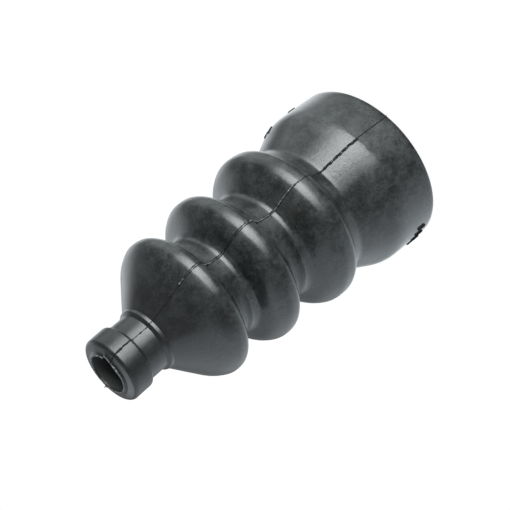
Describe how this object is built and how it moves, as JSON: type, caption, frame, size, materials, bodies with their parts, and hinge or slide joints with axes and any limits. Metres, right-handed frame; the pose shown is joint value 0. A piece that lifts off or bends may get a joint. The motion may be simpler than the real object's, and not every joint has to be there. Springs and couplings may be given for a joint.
{
  "type": "bellows boot",
  "caption": "Moulded rubber bellows boot: tapering round folds between a flared open skirt and a narrow collared neck, sealing a sliding rod against dirt.",
  "frame": {"origin": "centre of the rim face of the wide end, on the boot's axis", "axes": "+Z along the axis from the wide end to the small end; the mould parting line lies in the XZ plane"},
  "size_m": [0.0542, 0.0542, 0.1099],
  "materials": {
    "rubber": "satin"
  },
  "bodies": {
    "root": {"bellows_boot": "rubber"}
  },
  "joints": []
}
